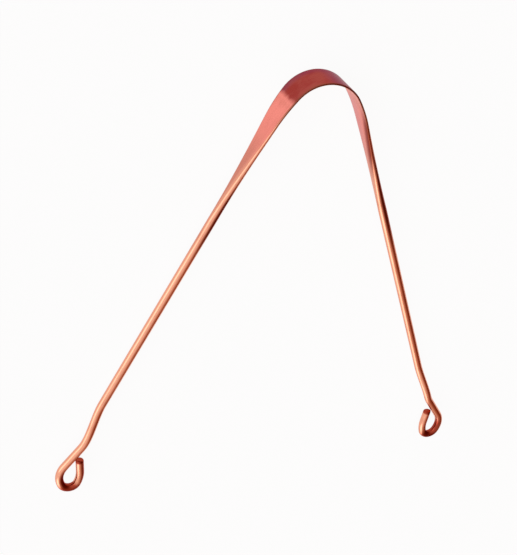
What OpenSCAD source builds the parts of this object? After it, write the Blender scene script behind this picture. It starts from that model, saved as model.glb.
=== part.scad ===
// Tongue scraper bent from one length of round copper wire.
// The middle of the wire is rolled to a flat band and bowed, and each end is curled to a closed eye.
// It lies on its side as on a table: X is its width, +Y points to the bow, and +Z is up.

/* [Wire] */
// Diameter of the drawn wire, as the legs still have it
wire_d = 2.5; // [1.8:0.1:2.8]

/* [Blade] */
// Width of the band where it is rolled flattest
blade_w = 9.8; // [7:0.2:12]
// Length over which each flank narrows from the band to the round wire
taper_len = 40; // [34:1:48]
// Radius of the bow, at the middle of the band's thickness
bow_r = 10.5; // [8:0.5:14]
// How far the bow turns to each side of its top, in degrees
bow_turn = 55; // [45:1:60]
// Radius of the slack bend between the bow and each leg
shoulder_r = 45; // [30:1:60]
// Running gap at each line where the springy bow flexes
flex_gap = 0.1; // [0.08:0.01:0.12]

/* [Legs] */
// Length of the flat flank piece, along the wire
flank_len = 20; // [16:1:24]
// Length of straight round wire between the taper and the rise
leg_len = 67.5; // [45:0.5:90]
// Lean of each leg away from the middle line, in degrees
leg_lean = 24; // [18:1:28]
// Length over which each leg rises to its eye, measured flat
rise_len = 13; // [10:0.5:16]

/* [Eyes] */
// Height of the eyes over the plane of the legs
rise_h = 3; // [1:0.1:4]
// Radius of the bend that sets each eye outwards
offset_r = 12; // [8:1:20]
// Angle of that bend, in degrees
offset_turn = 12; // [6:1:14]
// Straight run from that bend to the curl
set_len = 8.2; // [7.6:0.2:11]
// Radius of the curl's outer side
curl_r = 7.6; // [6:0.2:9]
// Radius of the curl's tight end
nose_r = 2.6; // [2.4:0.1:3]
// Radius of the curl's inner side
return_r = 12; // [10:0.5:15]
// Gap between the cut end of the wire and the run that it closes on
tip_gap = 0.1; // [0.05:0.05:0.4]

/* [Hidden] */
// Turn of each part of the curl, in degrees
curl_turn = 60;
nose_turn = 135;
return_turn = 24;
// Corner radius of the band as a share of its thickness: the filed edge, and a full round
filed_share = 0.3;
round_share = 0.5;
// Share of the taper after which the edges are fully round
filed_end_share = 0.5;
// How steeply the taper sets off at the bow, as a share of its mean slope
taper_lead_share = 1;
// Points on each corner of a section, and steps along each stretch of a swept piece
corner_points = 6;
flank_rings = 18;
neck_rings = 16;
rise_rings = 16;
curl_rings = 11;
nose_rings = 20;
return_rings = 6;
copper = "#c46f57";
light_copper = "#d98a70";

wire_r = wire_d / 2;
metal_area = PI * wire_r * wire_r;
shoulder_turn = 90 - leg_lean - bow_turn;
shoulder_len = shoulder_r * shoulder_turn * PI / 180;
blade_t = band_t(blade_w, filed_share);
edge_r = filed_share * blade_t;

// Thickness of the band, where the rolled wire keeps its metal as it spreads
function band_t(w, share) =
    let (k = (4 - PI) * share * share)
    (w - sqrt(w * w - 4 * k * metal_area)) / (2 * k);
function taper_share(x) = (1 - x) * (1 - x) * (1 + 2 * x - taper_lead_share * x);
function width_at(s) =
    let (x = min(1, s / taper_len))
    wire_d + (blade_w - wire_d) * taper_share(x);
// The necks thicken early, so they hold more metal than the band and the wire
function thickness_at(s) =
    let (x = min(1, s / taper_len))
    blade_t + (wire_d - blade_t) * x * x * (2 - x);
function corner_share_at(s) =
    let (x = min(1, s / (taper_len * filed_end_share)))
    filed_share + (round_share - filed_share) * x;

// Headings are degrees below +X, in the plane of the wire, on its right half
function ahead(a) = [cos(a), -sin(a)];
function right_of(a) = [-sin(a), -cos(a)];
function arc_end(p, a, r, turn) = p + r * [sin(a + turn) - sin(a), cos(a + turn) - cos(a)];

bow_end = arc_end([0, 0], 0, bow_r, bow_turn);
flank_start = bow_end + flex_gap * ahead(bow_turn);
leg_a = 90 - leg_lean;
shoulder_end = arc_end(flank_start, bow_turn, shoulder_r, shoulder_turn);
leg_start = shoulder_end + (taper_len - shoulder_len) * ahead(leg_a);
rise_start = leg_start + leg_len * ahead(leg_a);
offset_start = rise_start + rise_len * ahead(leg_a);
offset_end = arc_end(offset_start, leg_a, -offset_r, -offset_turn);
set_a = leg_a - offset_turn;
curl_start = offset_end + set_len * ahead(set_a);
nose_start = arc_end(curl_start, set_a, curl_r, curl_turn);
nose_a = set_a + curl_turn;
return_start = arc_end(nose_start, nose_a, nose_r, nose_turn);
return_a = nose_a + nose_turn;
tip_start = arc_end(return_start, return_a, return_r, return_turn);
tip_a = return_a + return_turn;
// The cut end runs on until its corner is the gap away from the straight run
closing_a = tip_a - set_a;
tip_room = (tip_start - curl_start) * right_of(set_a) + wire_r * cos(closing_a) - wire_r - tip_gap;
tip_len = tip_room / -sin(closing_a);

// The object rests on both ends of the bow's lower edge and on both legs, where they start to rise
rest_tilt = atan((blade_w / 2 - wire_r) / (bow_end.y - rise_start.y));
rest_lift = blade_w / 2 * cos(rest_tilt) - bow_end.y * sin(rest_tilt);
eye_low_y = arc_end(nose_start, nose_a, nose_r, 180 - nose_a).y;
top_y = (blade_t / 2 - edge_r) * cos(rest_tilt) + (blade_w / 2 - edge_r) * sin(rest_tilt) + edge_r;
bottom_y = eye_low_y * cos(rest_tilt) - rise_h * sin(rest_tilt) - wire_r;
rest_y = -(top_y + bottom_y) / 2;

// Outline of the rolled wire across its thickness and its width, with straight flats that touch its arcs
function section(w, t, share) =
    let (
        r = share * t,
        step = 90 / corner_points,
        reach = r / cos(step / 2)
    )
    [for (c = [0:3], k = [0:corner_points - 1])
        let (
            a = 90 * c + step * (k + 1 / 2),
            side_u = c == 0 || c == 3 ? 1 : -1,
            side_v = c < 2 ? 1 : -1
        )
        [side_u * (t / 2 - r) + reach * cos(a), side_v * (w / 2 - r) + reach * sin(a)]];

// A station is the place, heading, width, thickness and corner share of the wire at one point along it,
// then its height over the plane of the legs and how steeply it climbs
function flank_station(s) =
    let (
        turned = min(s, shoulder_len) / shoulder_r * 180 / PI,
        p = arc_end(flank_start, bow_turn, shoulder_r, turned) + max(0, s - shoulder_len) * ahead(leg_a)
    )
    [p, bow_turn + turned, width_at(s), thickness_at(s), corner_share_at(s), 0, 0];
function flank_stations(from, to, count) =
    [for (i = [0:count]) flank_station(from + (to - from) * i / count)];
function round_station(p, a, height = 0, climb = 0) = [p, a, wire_d, wire_d, round_share, height, climb];
function rise_station(x) =
    let (
        height = rise_h * x * x * (3 - 2 * x),
        climb = atan(rise_h / rise_len * 6 * x * (1 - x))
    )
    round_station(rise_start + rise_len * x * ahead(leg_a), leg_a, height, climb);
function arc_stations(p, a, r, turn, count) =
    [for (i = [1:count]) round_station(arc_end(p, a, r, turn * i / count), a + turn * i / count)];
function ring(station) =
    let (p = station[0], a = station[1], height = station[5], climb = station[6])
    [for (q = section(station[2], station[3], station[4]))
        let (back = q.y * sin(climb))
        [p.x + q.x * sin(a) - back * cos(a), p.y + q.x * cos(a) + back * sin(a), height + q.y * cos(climb)]];

module place() {
    translate([0, rest_y, rest_lift])
        rotate([rest_tilt, 0, 0])
            children();
}

module left_side() {
    place() mirror([1, 0, 0]) children();
}

module raised() {
    translate([0, 0, rise_h]) children();
}

// Band or wire swept through its stations, with flat ends
module swept(stations) {
    n = 4 * corner_points;
    last = len(stations) - 1;
    points = [for (station = stations) each ring(station)];
    sides = [for (i = [0:last - 1], k = [0:n - 1])
        let (a = i * n + k, b = i * n + (k + 1) % n)
        each [[a, b, b + n], [a, b + n, a + n]]];
    start = [[for (k = [n - 1:-1:0]) k]];
    end = [[for (k = [0:n - 1]) last * n + k]];
    polyhedron(points = points, faces = concat(sides, start, end), convexity = 4);
}

module flank() {
    color(light_copper)
        swept(flank_stations(0, flank_len, flank_rings));
}

module neck() {
    color(copper)
        swept(flank_stations(flank_len, taper_len, neck_rings));
}

module leg() {
    color(light_copper)
        translate([leg_start.x, leg_start.y, 0])
            rotate([0, 90, -leg_a])
                cylinder(r = wire_r, h = leg_len, $fn = 64);
}

module rise() {
    color(copper)
        swept([for (i = [0:rise_rings]) rise_station(i / rise_rings)]);
}

module offset_bend() {
    centre = offset_start - offset_r * right_of(leg_a);
    color(light_copper)
        translate([centre.x, centre.y, 0])
            rotate_extrude(angle = offset_turn, start = 270 - leg_a, $fn = 180)
                translate([offset_r, 0])
                    circle(r = wire_r, $fn = 64);
}

module eye() {
    color(copper)
        swept(concat(
            [round_station(offset_end, set_a), round_station(curl_start, set_a)],
            arc_stations(curl_start, set_a, curl_r, curl_turn, curl_rings),
            arc_stations(nose_start, nose_a, nose_r, nose_turn, nose_rings),
            arc_stations(return_start, return_a, return_r, return_turn, return_rings),
            [round_station(tip_start + tip_len * ahead(tip_a), tip_a)]
        ));
}

module blade_crown() {
    color(copper)
        place()
            translate([0, -bow_r, 0])
                rotate_extrude(angle = 2 * bow_turn, start = 90 - bow_turn, $fn = 180)
                    translate([bow_r, 0])
                        polygon(section(blade_w, blade_t, filed_share));
}

module blade_left() { left_side() flank(); }
module blade_right() { place() flank(); }
module neck_left() { left_side() neck(); }
module neck_right() { place() neck(); }
module leg_left() { left_side() leg(); }
module leg_right() { place() leg(); }
module rise_left() { left_side() rise(); }
module rise_right() { place() rise(); }
module bend_left() { left_side() raised() offset_bend(); }
module bend_right() { place() raised() offset_bend(); }
module eye_left() { left_side() raised() eye(); }
module eye_right() { place() raised() eye(); }

blade_crown();
blade_left();
blade_right();
neck_left();
neck_right();
leg_left();
leg_right();
rise_left();
rise_right();
bend_left();
bend_right();
eye_left();
eye_right();
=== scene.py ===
"""A tongue scraper of copper wire, rolled flat at its bow and curled to an eye at each end."""
import functools
import math

import bmesh
import bpy
from mathutils import Matrix, Vector


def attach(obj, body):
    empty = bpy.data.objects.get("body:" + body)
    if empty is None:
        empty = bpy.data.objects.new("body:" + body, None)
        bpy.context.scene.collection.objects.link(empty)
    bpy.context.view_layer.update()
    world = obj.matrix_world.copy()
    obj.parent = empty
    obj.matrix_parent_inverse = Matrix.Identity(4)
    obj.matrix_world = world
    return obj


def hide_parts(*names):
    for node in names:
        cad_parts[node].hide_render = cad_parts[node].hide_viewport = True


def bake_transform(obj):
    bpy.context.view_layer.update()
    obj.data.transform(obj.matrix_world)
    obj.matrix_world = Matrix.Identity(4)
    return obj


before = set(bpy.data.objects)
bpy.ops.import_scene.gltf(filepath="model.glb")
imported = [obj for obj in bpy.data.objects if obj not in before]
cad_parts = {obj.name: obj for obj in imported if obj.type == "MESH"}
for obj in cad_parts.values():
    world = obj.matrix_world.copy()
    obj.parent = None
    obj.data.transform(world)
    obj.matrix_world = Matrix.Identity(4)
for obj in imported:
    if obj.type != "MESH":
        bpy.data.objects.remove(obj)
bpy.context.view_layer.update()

# Sizes of the wire, as the part's source has them, in metres and radians
MM = 0.001
WIRE = 2.5 * MM
BLADE = 9.8 * MM
TAPER = 40 * MM
BOW_R = 10.5 * MM
SHOULDER_R = 45 * MM
FLEX_GAP = 0.1 * MM
LEG = 67.5 * MM
RISE = 13 * MM
EYE_RAISE = 3 * MM
OFFSET_R = 12 * MM
SET = 8.2 * MM
CURL_R = 7.6 * MM
NOSE_R = 2.6 * MM
RETURN_R = 12 * MM
TIP_GAP = 0.1 * MM
BOW_TURN = math.radians(55)
LEG_LEAN = math.radians(24)
OFFSET_TURN = math.radians(12)
CURL_TURN = math.radians(60)
NOSE_TURN = math.radians(135)
RETURN_TURN = math.radians(24)
FILED_SHARE = 0.3
ROUND_SHARE = 0.5
TAPER_LEAD_SHARE = 1

# How finely the surface is built
RING_POINTS = 64
BOW_STEP = 0.25 * MM
FLANK_STEP = 0.6 * MM
LEG_STEP = 2 * MM
CURL_STEP = 0.22 * MM
END_STEPS = 6

# How softly the taper sets in, as a share of it
EASE_SHARE = 0.04
# A ring's points within this angle of the middle of a flat lie on it, and the others on the corners,
# where the band is at least this many times as wide as it is thick
FLAT_ANGLE = math.radians(20)
FLAT_RATIO = 2.5
# Over what length the outer side of each cut end is rounded
END_ROUND = 0.7 * MM
# How far beyond the taper each handle starts
HANDLE_START = 12 * MM

# How far the filed edges reach, and over what length they turn round from there
FILED_TO = 16 * MM
ROUND_OVER = 14 * MM

SIDES = {"left": -1, "right": 1}

# What the finish reads at each vertex: millimetres along the wire, millimetres up from its middle, how far
# round to its outer side it is, corner radii in from the nearest edge, how wide the band is there as a
# share, and millimetres under the upper edge
LAYERS = ("along", "across", "outer", "edge", "flat", "below")
EDGE_MOST = 3


def band_t(width, share):
    """Thickness at which the rolled wire keeps its metal."""
    k = (4 - math.pi) * share ** 2
    return (width - math.sqrt(width ** 2 - k * math.pi * WIRE ** 2)) / (2 * k)


def taper_share(x):
    return (1 - x) ** 2 * (1 + 2 * x - TAPER_LEAD_SHARE * x)


def ahead(a):
    return Vector((math.cos(a), -math.sin(a), 0))


def outward(a):
    return Vector((math.sin(a), math.cos(a), 0))


def arc_end(p, a, r, turn):
    return p + r * Vector((math.sin(a + turn) - math.sin(a), math.cos(a + turn) - math.cos(a), 0))


def smooth(x):
    x = min(1, max(0, x))
    return x * x * (3 - 2 * x)


LEG_A = math.pi / 2 - LEG_LEAN
SHOULDER_TURN = LEG_A - BOW_TURN
SET_A = LEG_A - OFFSET_TURN
BOW_LEN = BOW_R * BOW_TURN
FLANK_FROM = BOW_LEN + FLEX_GAP
ROUND_FROM = FLANK_FROM + TAPER
RISE_FROM = ROUND_FROM + LEG


def tip_length():
    """The cut end runs on until its corner is the gap away from the straight run before the curl."""
    p = arc_end(Vector((0, 0, 0)), SET_A, CURL_R, CURL_TURN)
    p = arc_end(p, SET_A + CURL_TURN, NOSE_R, NOSE_TURN)
    p = arc_end(p, SET_A + CURL_TURN + NOSE_TURN, RETURN_R, RETURN_TURN)
    closing = CURL_TURN + NOSE_TURN + RETURN_TURN
    room = -p.dot(outward(SET_A)) + WIRE / 2 * math.cos(closing) - WIRE / 2 - TIP_GAP
    return room / -math.sin(closing)


# Every stretch of one half of the wire, from the top of the bow: radius, turn or length, and step
STRETCHES = [
    (BOW_R, BOW_TURN, BOW_STEP),
    (None, FLEX_GAP, FLEX_GAP),
    (SHOULDER_R, SHOULDER_TURN, FLANK_STEP),
    (None, TAPER - SHOULDER_R * SHOULDER_TURN, FLANK_STEP),
    (None, LEG, LEG_STEP),
    (None, RISE, FLANK_STEP),
    (-OFFSET_R, -OFFSET_TURN, CURL_STEP),
    (None, SET, FLANK_STEP),
    (CURL_R, CURL_TURN, CURL_STEP),
    (NOSE_R, NOSE_TURN, CURL_STEP),
    (RETURN_R, RETURN_TURN, CURL_STEP),
    (None, tip_length(), FLANK_STEP),
]


def walk():
    """Stations along one half, seen from above: length from the top of the bow, place and heading."""
    s, p, a = 0.0, Vector((0, 0, 0)), 0.0
    stations = [(s, p, a)]
    for radius, amount, step in STRETCHES:
        length = amount if radius is None else radius * amount
        count = max(1, round(length / step))
        for i in range(1, count + 1):
            part = amount * i / count
            place = p + part * ahead(a) if radius is None else arc_end(p, a, radius, part)
            stations.append((s + length * i / count, place, a if radius is None else a + part))
        s, p, a = stations[-1]
    return stations


BLADE_T = band_t(BLADE, FILED_SHARE)
STATIONS = walk()
WIRE_END = STATIONS[-1][0]
CURL_FROM = RISE_FROM + RISE + OFFSET_R * OFFSET_TURN + SET
NOSE_FROM = CURL_FROM + CURL_R * CURL_TURN
RETURN_FROM = NOSE_FROM + NOSE_R * NOSE_TURN
SPLIT = min(s for s, p, a in STATIONS if s > ROUND_FROM + HANDLE_START)


def width_at(s):
    x = (s - FLANK_FROM) / TAPER
    x = min(1, (x + math.hypot(x, EASE_SHARE)) / 2)
    return WIRE + (BLADE - WIRE) * taper_share(x)


def thickness_at(s):
    """The necks thicken early, so they hold more metal than the band and the wire."""
    x = min(1, max(0, (s - FLANK_FROM) / TAPER))
    return BLADE_T + (WIRE - BLADE_T) * x * x * (2 - x)


def corner_share_at(s):
    return FILED_SHARE + (ROUND_SHARE - FILED_SHARE) * smooth((s - FILED_TO) / ROUND_OVER)


def height_at(s):
    return EYE_RAISE * smooth((s - RISE_FROM) / RISE)


def climb_at(s):
    x = min(1, max(0, (s - RISE_FROM) / RISE))
    return math.atan(EYE_RAISE / RISE * 6 * x * (1 - x))


# The wire lies on both ends of the bow's lower edge and on both legs, where they start to rise
BOW_END_Y = arc_end(Vector((0, 0, 0)), 0, BOW_R, BOW_TURN).y
RISE_START_Y = min(STATIONS, key=lambda station: abs(station[0] - RISE_FROM))[1].y
EYE_LOW_Y = min(p.y for s, p, a in STATIONS)
REST_TILT = math.atan((BLADE - WIRE) / 2 / (BOW_END_Y - RISE_START_Y))
REST_LIFT = BLADE / 2 * math.cos(REST_TILT) - BOW_END_Y * math.sin(REST_TILT)
EDGE_R = FILED_SHARE * BLADE_T
TOP_Y = (BLADE_T / 2 - EDGE_R) * math.cos(REST_TILT) + (BLADE / 2 - EDGE_R) * math.sin(REST_TILT) + EDGE_R
BOTTOM_Y = EYE_LOW_Y * math.cos(REST_TILT) - EYE_RAISE * math.sin(REST_TILT) - WIRE / 2
REST = (
    Matrix.Translation((0, -(TOP_Y + BOTTOM_Y) / 2, REST_LIFT))
    @ Matrix.Rotation(REST_TILT, 4, "X")
)


def section_point(s, turn):
    """A point of the section at s: how far out of the bow it lies, and how far up."""
    width, thick, share = width_at(s), thickness_at(s), corner_share_at(s)
    r = share * thick
    flat = smooth((width / thick - 1) / (FLAT_RATIO - 1))
    quarter, within = divmod(turn, math.pi / 2)
    arc = min(1, max(0, (within - FLAT_ANGLE) / (math.pi / 2 - 2 * FLAT_ANGLE))) * math.pi / 2
    round_turn = quarter * math.pi / 2 + within + flat * (arc - within)
    reach = math.sin(FLAT_ANGLE)
    side_u = min(1, max(-1, math.cos(turn) / reach))
    side_v = min(1, max(-1, math.sin(turn) / reach))
    u = (thick / 2 - r) * side_u + r * math.cos(round_turn)
    v = (width / 2 - r) * side_v + r * math.sin(round_turn)
    # Near the cut end the section shrinks towards its inner side, whose corner stays
    rounding = max(0, s - (WIRE_END - END_ROUND)) / END_ROUND
    shrink = 1 - END_ROUND / (WIRE / 2) * (1 - math.sqrt(max(0, 1 - rounding ** 2)))
    return u * shrink - WIRE / 2 * (1 - shrink), v * shrink


def place_ring(ring, layers, station, side):
    """Puts a ring of vertices on the section at a station, with what the finish needs to know there."""
    s, p, a = station
    width, climb = width_at(s), climb_at(s)
    edge_r = corner_share_at(s) * thickness_at(s)
    up = Vector((0, 0, math.cos(climb))) - math.sin(climb) * ahead(a)
    for i, vert in enumerate(ring):
        turn = 2 * math.pi * i / RING_POINTS
        u, v = section_point(s, turn)
        at = p + Vector((0, 0, height_at(s))) + outward(a) * u + up * v
        vert.co = REST @ Vector((side * at.x, at.y, at.z))
        vert[layers["along"]] = s / MM
        vert[layers["across"]] = v / MM
        vert[layers["outer"]] = math.cos(turn)
        vert[layers["edge"]] = min(EDGE_MOST, (width / 2 - abs(v)) / edge_r)
        vert[layers["flat"]] = (width - WIRE) / (BLADE - WIRE)
        vert[layers["below"]] = (width / 2 - v) / MM


def next_ring(bm, ring):
    """Extrudes a ring of vertices once, and returns the new ring in the same order."""
    around = zip(ring, ring[1:] + ring[:1])
    edges = [bm.edges.get(pair) for pair in around]
    made = bmesh.ops.extrude_edge_only(bm, edges=edges)["geom"]
    new = {v for v in made if isinstance(v, bmesh.types.BMVert)}
    return [next(e.other_vert(v) for e in v.link_edges if e.other_vert(v) in new) for v in ring]


def wire_piece(name, stations, side):
    """A closed length of the rolled or round wire, extruded ring by ring."""
    bm = bmesh.new()
    layers = {key: bm.verts.layers.float.new(key) for key in LAYERS}
    ring = bmesh.ops.create_circle(bm, cap_ends=False, radius=WIRE, segments=RING_POINTS)["verts"]
    place_ring(ring, layers, stations[0], side)
    for station in stations[1:]:
        ring = next_ring(bm, ring)
        place_ring(ring, layers, station, side)
    for face in bm.faces:
        face.smooth = True
    rims = [e for e in bm.edges if e.is_boundary]
    for edge in rims:
        edge.smooth = False
    bmesh.ops.holes_fill(bm, edges=rims, sides=0)
    bmesh.ops.recalc_face_normals(bm, faces=bm.faces)
    mesh = bpy.data.meshes.new(name)
    bm.to_mesh(mesh)
    bm.free()
    piece = bpy.data.objects.new(name, mesh)
    bpy.context.scene.collection.objects.link(piece)
    return piece


def with_rounded_end(stations):
    """Adds stations close to the cut end, where its outer side is rounded."""
    s, p, a = stations[-1]
    kept = [station for station in stations if station[0] < s - END_ROUND]
    for i in range(END_STEPS + 1):
        back = END_ROUND * (1 - math.sin(i / END_STEPS * math.pi / 2))
        kept.append((s - back, p - back * ahead(a), a))
    return kept


class Nodes:
    """Small helper that adds and links the nodes of one material, or of the world."""

    def __init__(self, material):
        material.use_nodes = True
        self.tree = material.node_tree
        self.tree.nodes.clear()

    def add(self, kind, inputs=(), **settings):
        node = self.tree.nodes.new("ShaderNode" + kind)
        for key, value in settings.items():
            setattr(node, key, value)
        for key, value in dict(inputs).items():
            if isinstance(value, bpy.types.NodeSocket):
                self.tree.links.new(value, node.inputs[key])
            else:
                node.inputs[key].default_value = value
        return node

    def attribute(self, name):
        return self.add("Attribute", attribute_name=name).outputs["Fac"]

    def math(self, operation, *values):
        return self.add("Math", dict(enumerate(values)), operation=operation).outputs[0]

    def product(self, *values):
        return functools.reduce(lambda a, b: self.math("MULTIPLY", a, b), values)

    def ramp(self, value, low, high, to_low=0.0, to_high=1.0):
        inputs = {"Value": value, "From Min": low, "From Max": high, "To Min": to_low, "To Max": to_high}
        return self.add("MapRange", inputs, interpolation_type="SMOOTHSTEP").outputs[0]

    def stretch(self, along, *stops):
        """1 between the two middle stops, fading to 0 at the outer two."""
        return self.product(self.ramp(along, *stops[:2]), self.ramp(along, *stops[:1:-1]))

    def mix(self, factor, low, high):
        return self.add("Mix", {0: factor, 6: low, 7: high}, data_type="RGBA").outputs[2]

    def noise(self, vector, scale, detail, roughness):
        inputs = {"Vector": vector, "Scale": scale, "Detail": detail, "Roughness": roughness}
        return self.add("TexNoise", inputs).outputs[0]

    def seen(self):
        """1 where the camera, a reflection or a view through glass meets the surface, and 0 for light."""
        path = self.add("LightPath").outputs
        mirrored = self.math("MAXIMUM", path["Is Glossy Ray"], path["Is Transmission Ray"])
        return self.math("MAXIMUM", path["Is Camera Ray"], mirrored)


# Colours as linear red, green and blue: the studio's, then the copper's
WHITE = (1, 1, 1, 1)
TABLE_WHITE = (0.9, 0.9, 0.9, 1)
ROLLED = (0.98, 0.29, 0.235, 1)
DRAWN = (0.90, 0.40, 0.26, 1)
# The next three colours are painted dark reflection on the outside of the bow
CROWN_PAINTED_DARK = (0.36, 0.048, 0.040, 1)
ROSY = (0.44, 0.095, 0.080, 1)
HAZE = (0.62, 0.29, 0.36, 1)
VIOLET = (0.21, 0.050, 0.12, 1)
TARNISH = (0.35, 0.080, 0.040, 1)
# Painted shade on the outside of the necks and the tops of the legs
NECK_PAINTED_SHADE = (0.45, 0.105, 0.095, 1)
# Painted shade and dark reflection on the flanks and down the right neck
STRIP_PAINTED_SHADE = (0.22, 0.026, 0.010, 1)
# Painted shade and dark reflection in the eyes and on the cut ends
EYE_PAINTED_SHADE = (0.30, 0.022, 0.008, 1)
# Painted dark reflection along the edges near the top of the bow
CROWN_EDGE_PAINTED_DARK = (0.26, 0.075, 0.045, 1)
# Tint of the rim's reflection where shade or dark reflection is painted, then elsewhere
PAINTED_DARK_RIM = (0.8, 0.5, 0.5, 1)
RIM = (0.9, 0.75, 0.72, 1)

# The sky from left to right: how far to the right it is looked at, and its colour there
SKY = [
    (-0.40, 1.0, 1.0, 1.0),
    (-0.09, 0.75, 0.62, 0.57),
    (0.25, 0.53, 0.32, 0.24),
    (0.45, 0.35, 0.13, 0.07),
    (0.8, 0.20, 0.045, 0.018),
]
# From what height to what height over the horizon it takes over from the white
HORIZON = (0.0, 0.06)

# Half the table's width, and how far it is lifted to white where it is seen
TABLE_HALF = 2.0
LIFT_SHARE = 0.94

# Grain of the metal: how finely each pattern repeats, its detail and its roughness
LINES_STRETCH = (0.05, 2.2, 1.6)
LINES = (2.4, 4, 0.62)
CLOUDS = (170, 3, 0.55)
GRAIN = (2600, 2, 0.5)

# How the metal's patterns and its flatness set its roughness, from one value to another, and its bumps
LINED_ROUGH = (0.3, 0.75, 0.14, 0.22)
FLAT_ROUGH = (0.0, 0.6, 0.0, 0.1)
BURNISHED_FLAT = (0.1, 0.75)
SCRATCH_SHARE = 0.8
GRAIN_SHARE = 0.25
BUMP_SHARE = 0.2
BUMP_DEPTH = 0.03 * MM

# How the clouds and lines set each mark, from one value to another
RAGGED_CLOUDS = (0.3, 0.7, -0.5, 0.5)
ROSY_CLOUDS = (0.4, 0.65, 0.0, 0.7)
TARNISH_CLOUDS = (0.46, 0.74, 0.0, 0.22)
TARNISH_LINES = (0.45, 0.7, 0.0, 0.2)

# How much further the crown's painted dark reflection reaches for each millimetre down, and the left
# flank's strip starts
CROWN_SLANT = 0.05
LEFT_STRIP_LATER = 24

# Where each mark fades in and out along the wire, in millimetres from the top of the bow
CROWN_ALONG = (12.4, 10.5)
HAZE_ALONG = (45, 25)
NECK_SHADE_ALONG = (17, 34, 48, 72)
STRIP_ALONG = (11, 20, 28, 40)
SHADE_ALONG = (24, 36, 52, 68)
CROWN_EDGE_DARK_ALONG = (24, 12)
NOSE_ALONG = (NOSE_FROM / MM - 2, NOSE_FROM / MM + 1, RETURN_FROM / MM - 1, RETURN_FROM / MM + 1.5)
CURL_ALONG = (CURL_FROM / MM - 1, CURL_FROM / MM + 4, RETURN_FROM / MM - 2, RETURN_FROM / MM)
CHEEK_ALONG = (RETURN_FROM / MM - 1, RETURN_FROM / MM + 1.5)
CUT_ALONG = (WIRE_END / MM - 1.3, WIRE_END / MM - 0.6)

# Round which side of the wire each mark fades in, from -1 on the inner side to 1 on the outer side
CROWN_ROUND = (-0.6, -0.1)
HAZE_ROUND = (0.0, -0.4)
NECK_SHADE_ROUND = (-0.2, 0.5)
STRIP_ROUND = (0.35, -0.2)
SHADE_ROUND = (-0.5, 0.1)
NOSE_ROUND = (0.95, 0.5)
CURL_ROUND = (0.35, -0.45)
CHEEK_ROUND = (0.1, 0.6)

# Over what height each mark fades in: millimetres over the middle, then under the upper edge
CROWN_LOW = (-1.5, -4.5)
HAZE_LOW = (2.0, -2.0)
NECK_SHADE_UNDER = (0.6, 2.2)
STRIP_UNDER = (3.4, 0.9)

# How far in from an edge its marks reach, in corner radii
CROWN_EDGE_DARK_INWARDS = (2.2, 0.9)
BURNISHED_INWARDS = (0.5, 1.3)

# Where a mark of one side fades in across the object, in metres to the right of the middle line
TINT_FROM = (-0.0015, 0.0035)
HAZE_FROM = (0.008, 0.010)
RIGHT_OF_MIDDLE = (-0.001, 0.001)
LEFT_OF_MIDDLE = (0.001, -0.001)

# How strong each mark is where it is fullest
LOW_SHARE = 0.5
TINT_SHARE = 0.85
HAZE_SHARE = 0.4
NECK_SHADE_SHARES = (0.1, 0.5)
STRIP_SHARE = 0.9
SHADE_SHARE = 0.85
CHEEK_SHARE = 0.9
EYE_SHADE_SHARE = 0.92
CROWN_EDGE_DARK_SHARE = 0.8


def painted_dark_crown(n, at, colour):
    """Painted dark reflection on the outside of the bow, turning violet low down and to the right."""
    slanted = n.math("ADD", at["along"], n.math("MULTIPLY", at["across"], CROWN_SLANT))
    ragged = n.math("ADD", slanted, n.ramp(at["clouds"], *RAGGED_CLOUDS))
    crown_dark_mask = n.product(n.ramp(ragged, *CROWN_ALONG), n.ramp(at["outer"], *CROWN_ROUND))
    crown = n.mix(n.ramp(at["clouds"], *ROSY_CLOUDS), CROWN_PAINTED_DARK, ROSY)
    crown = n.mix(n.ramp(at["across"], *CROWN_LOW, 0.0, LOW_SHARE), crown, VIOLET)
    colour = n.mix(crown_dark_mask, colour, crown)
    tint = n.product(n.ramp(at["side"], *TINT_FROM, 0.0, TINT_SHARE), crown_dark_mask)
    return n.mix(tint, colour, VIOLET), crown_dark_mask


def hazed_flank(n, at, colour):
    """A mauve tint low on the inside of the right flank."""
    hazed = n.product(
        n.ramp(at["side"], *HAZE_FROM, 0.0, HAZE_SHARE),
        n.ramp(at["across"], *HAZE_LOW),
        n.ramp(at["along"], *HAZE_ALONG),
        n.ramp(at["outer"], *HAZE_ROUND),
    )
    return n.mix(hazed, colour, HAZE)


def light_tarnish(n, at, colour):
    colour = n.mix(n.ramp(at["clouds"], *TARNISH_CLOUDS), colour, TARNISH)
    return n.mix(n.ramp(at["lines"], *TARNISH_LINES), colour, TARNISH)


def shaded_necks(n, at, colour):
    """Painted shade on the outside of the necks and the tops of the legs, stronger further under the upper
    edge.
    """
    neck_shade_mask = n.product(
        n.stretch(at["along"], *NECK_SHADE_ALONG),
        n.ramp(at["below"], *NECK_SHADE_UNDER, *NECK_SHADE_SHARES),
        n.ramp(at["outer"], *NECK_SHADE_ROUND),
    )
    return n.mix(neck_shade_mask, colour, NECK_PAINTED_SHADE)


def dark_strips(n, at, colour):
    """Painted shade and dark reflection: a strip under the upper inner edge of each flank, and a dark outer
    side that runs on down the right neck.
    """
    later = n.ramp(at["side"], *RIGHT_OF_MIDDLE, LEFT_STRIP_LATER, 0.0)
    from_crown = n.math("SUBTRACT", at["along"], later)
    strip = n.product(
        n.stretch(from_crown, *STRIP_ALONG),
        n.ramp(at["below"], *STRIP_UNDER),
        n.ramp(at["outer"], *STRIP_ROUND, 0.0, STRIP_SHARE),
    )
    shade = n.product(
        n.stretch(at["along"], *SHADE_ALONG),
        n.ramp(at["outer"], *SHADE_ROUND),
        n.ramp(at["side"], *RIGHT_OF_MIDDLE, 0.0, SHADE_SHARE),
    )
    colour = n.mix(strip, colour, STRIP_PAINTED_SHADE)
    return n.mix(shade, colour, STRIP_PAINTED_SHADE), n.math("MAXIMUM", strip, shade)


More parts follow.
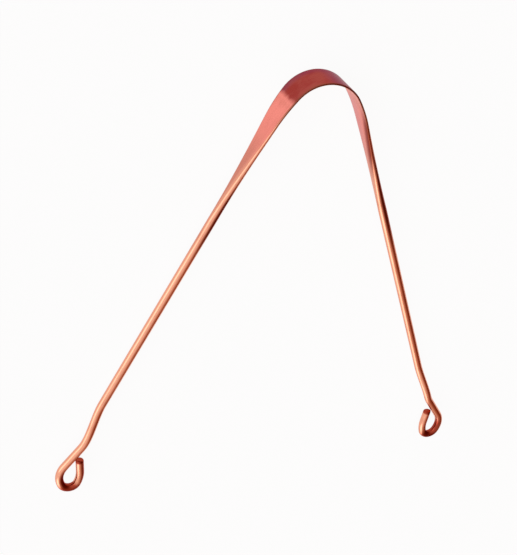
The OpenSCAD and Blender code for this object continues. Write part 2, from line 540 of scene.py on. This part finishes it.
def dark_eyes(n, at, colour):
    """Painted shade and dark reflection in dark red: noses, curls and cut ends, and the outer side of the
    left eye where it returns.
    """
    nose = n.product(n.stretch(at["along"], *NOSE_ALONG), n.ramp(at["outer"], *NOSE_ROUND))
    curl = n.product(n.stretch(at["along"], *CURL_ALONG), n.ramp(at["outer"], *CURL_ROUND))
    cheek = n.product(
        n.ramp(at["along"], *CHEEK_ALONG),
        n.ramp(at["outer"], *CHEEK_ROUND),
        n.ramp(at["side"], *LEFT_OF_MIDDLE, 0.0, CHEEK_SHARE),
    )
    cut = n.ramp(at["along"], *CUT_ALONG)
    eye_shade_mask = n.math("MAXIMUM", n.math("MAXIMUM", nose, cheek), n.math("MAXIMUM", curl, cut))
    return n.mix(n.math("MULTIPLY", eye_shade_mask, EYE_SHADE_SHARE), colour, EYE_PAINTED_SHADE), eye_shade_mask


def dark_crown_edges(n, at, colour):
    # Painted dark reflection along the filed edges near the top of the bow
    filed = n.product(
        n.ramp(at["edge"], *CROWN_EDGE_DARK_INWARDS, 0.0, CROWN_EDGE_DARK_SHARE),
        n.ramp(at["along"], *CROWN_EDGE_DARK_ALONG),
    )
    return n.mix(filed, colour, CROWN_EDGE_PAINTED_DARK)


def copper_finish():
    """Rolled and drawn copper: lines along the wire, light tarnish all over, and darker marks of painted
    shade and painted dark reflection.
    """
    material = bpy.data.materials.new("copper")
    n = Nodes(material)
    at = {key: n.attribute(key) for key in LAYERS}
    place = n.add("TexCoord").outputs["Object"]
    follow = n.add("CombineXYZ", {"X": at["along"], "Y": at["across"], "Z": at["outer"]}).outputs[0]
    lines_at = n.add("Mapping", {"Vector": follow, "Scale": LINES_STRETCH}).outputs[0]
    at["side"] = n.add("SeparateXYZ", {0: place}).outputs["X"]
    at["lines"] = n.noise(lines_at, *LINES)
    at["clouds"] = n.noise(place, *CLOUDS)
    grain = n.noise(place, *GRAIN)

    burnished = n.product(n.ramp(at["flat"], *BURNISHED_FLAT), n.ramp(at["edge"], *BURNISHED_INWARDS))
    colour = n.mix(burnished, DRAWN, ROLLED)
    colour, crown_dark_mask = painted_dark_crown(n, at, colour)
    colour = hazed_flank(n, at, colour)
    colour = light_tarnish(n, at, colour)
    colour = shaded_necks(n, at, colour)
    colour, strip_shade_mask = dark_strips(n, at, colour)
    colour, eye_shade_mask = dark_eyes(n, at, colour)
    colour = dark_crown_edges(n, at, colour)

    rough = n.math("ADD", n.ramp(at["lines"], *LINED_ROUGH), n.ramp(at["flat"], *FLAT_ROUGH))
    scratched = n.math("MULTIPLY", at["lines"], SCRATCH_SHARE)
    height = n.math("ADD", scratched, n.math("MULTIPLY", grain, GRAIN_SHARE))
    bump = n.add("Bump", {"Height": height, "Strength": BUMP_SHARE, "Distance": BUMP_DEPTH})
    # Where shade or dark reflection is painted, the rim's reflection is tinted down too
    painted_dark_mask = n.math("MAXIMUM", crown_dark_mask, n.math("MAXIMUM", strip_shade_mask, eye_shade_mask))
    shader = n.add("BsdfPrincipled", {
        "Base Color": colour,
        "Metallic": 1.0,
        "Roughness": rough,
        "Specular Tint": n.mix(painted_dark_mask, RIM, PAINTED_DARK_RIM),
        "Normal": bump.outputs[0],
    })
    n.add("OutputMaterial", {"Surface": shader.outputs[0]})
    return material


def floor_finish():
    """White table: it keeps the object's shadow, and what is seen of it is lifted to white."""
    material = bpy.data.materials.new("white_table")
    n = Nodes(material)
    diffuse = n.add("BsdfDiffuse", {"Color": TABLE_WHITE}).outputs[0]
    white = n.add("Emission", {"Color": WHITE, "Strength": 1.0}).outputs[0]
    lift = n.math("MULTIPLY", n.seen(), LIFT_SHARE)
    shown = n.add("MixShader", {0: lift, 1: diffuse, 2: white}).outputs[0]
    n.add("OutputMaterial", {"Surface": shown})
    return material


def studio_world():
    """A bright side to the left, falling off to a dim warm side on the right, over a white horizon."""
    world = bpy.data.worlds.new("studio")
    bpy.context.scene.world = world
    n = Nodes(world)
    toward = n.add("SeparateXYZ", {0: n.add("TexCoord").outputs["Generated"]}).outputs
    fade = n.add("ValToRGB", {"Fac": n.math("MULTIPLY_ADD", toward["X"], 0.5, 0.5)})
    stops = fade.color_ramp.elements
    for i, (x, *colour) in enumerate(SKY):
        stop = stops[i] if i < 2 else stops.new(1)
        stop.position = (x + 1) / 2
        stop.color = (*colour, 1)
    around = fade.outputs["Color"]
    sky = n.mix(n.ramp(toward["Z"], *HORIZON), WHITE, around)
    light = n.add("Background", {"Color": sky, "Strength": 1.0}).outputs[0]
    n.add("OutputWorld", {"Surface": light})


def table():
    bm = bmesh.new()
    bmesh.ops.create_grid(bm, x_segments=1, y_segments=1, size=TABLE_HALF)
    mesh = bpy.data.meshes.new("table")
    bm.to_mesh(mesh)
    bm.free()
    top = bpy.data.objects.new("table", mesh)
    bpy.context.scene.collection.objects.link(top)
    top.data.materials.append(floor_finish())


# Each lamp's direction as seen from the object, and its strength
LAMPS = {"left_softbox": ((-0.95, 0.05, 0.27), 0.35), "front_softbox": ((-0.42, -0.88, 0.25), 0.4)}
LAMP_ANGLE = math.radians(40)


def lamp(name, toward, energy):
    """A soft lamp far away, in the direction given."""
    light = bpy.data.lights.new(name, "SUN")
    light.energy = energy
    light.angle = LAMP_ANGLE
    holder = bpy.data.objects.new(name, light)
    holder.rotation_euler = Vector(toward).to_track_quat("Z", "Y").to_euler()
    bpy.context.scene.collection.objects.link(holder)


# The camera, from the fit of the wire's outline to the photograph
CAMERA_AT = Vector((-0.09774, 0.14143, 0.20905))
CAMERA_AHEAD = Vector((0.33611, -0.51788, -0.78666))
CAMERA_UP = Vector((0.07434, 0.84723, -0.526))
FOCAL_PIXELS = 912.29
PICTURE_HEIGHT = 555
SENSOR = 36
NEAREST_SEEN = 5 * MM


def photo_camera():
    data = bpy.data.cameras.new("camera")
    data.sensor_width = SENSOR
    data.lens = FOCAL_PIXELS * SENSOR / PICTURE_HEIGHT
    data.clip_start = NEAREST_SEEN
    camera = bpy.data.objects.new("camera", data)
    back = -CAMERA_AHEAD.normalized()
    right = CAMERA_UP.cross(back).normalized()
    turn = Matrix((right, back.cross(right), back)).transposed()
    camera.matrix_world = Matrix.Translation(CAMERA_AT) @ turn.to_4x4()
    bpy.context.scene.collection.objects.link(camera)
    bpy.context.scene.camera = camera


bpy.context.scene.view_settings.view_transform = "Standard"
photo_camera()
table()
studio_world()
for name, (toward, energy) in LAMPS.items():
    lamp(name, toward, energy)

copper = copper_finish()
for word, side in SIDES.items():
    arm = word + "_arm"
    band = wire_piece(word + "_band", [st for st in STATIONS if st[0] <= SPLIT], side)
    handle = wire_piece(word + "_handle", with_rounded_end([st for st in STATIONS if st[0] >= SPLIT]), side)
    for piece in (band, handle):
        piece.data.materials.append(copper)
    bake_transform(band)
    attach(handle, arm)
    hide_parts("blade_crown", "blade_" + word, "neck_" + word)
    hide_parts("leg_" + word, "rise_" + word, "bend_" + word, "eye_" + word)
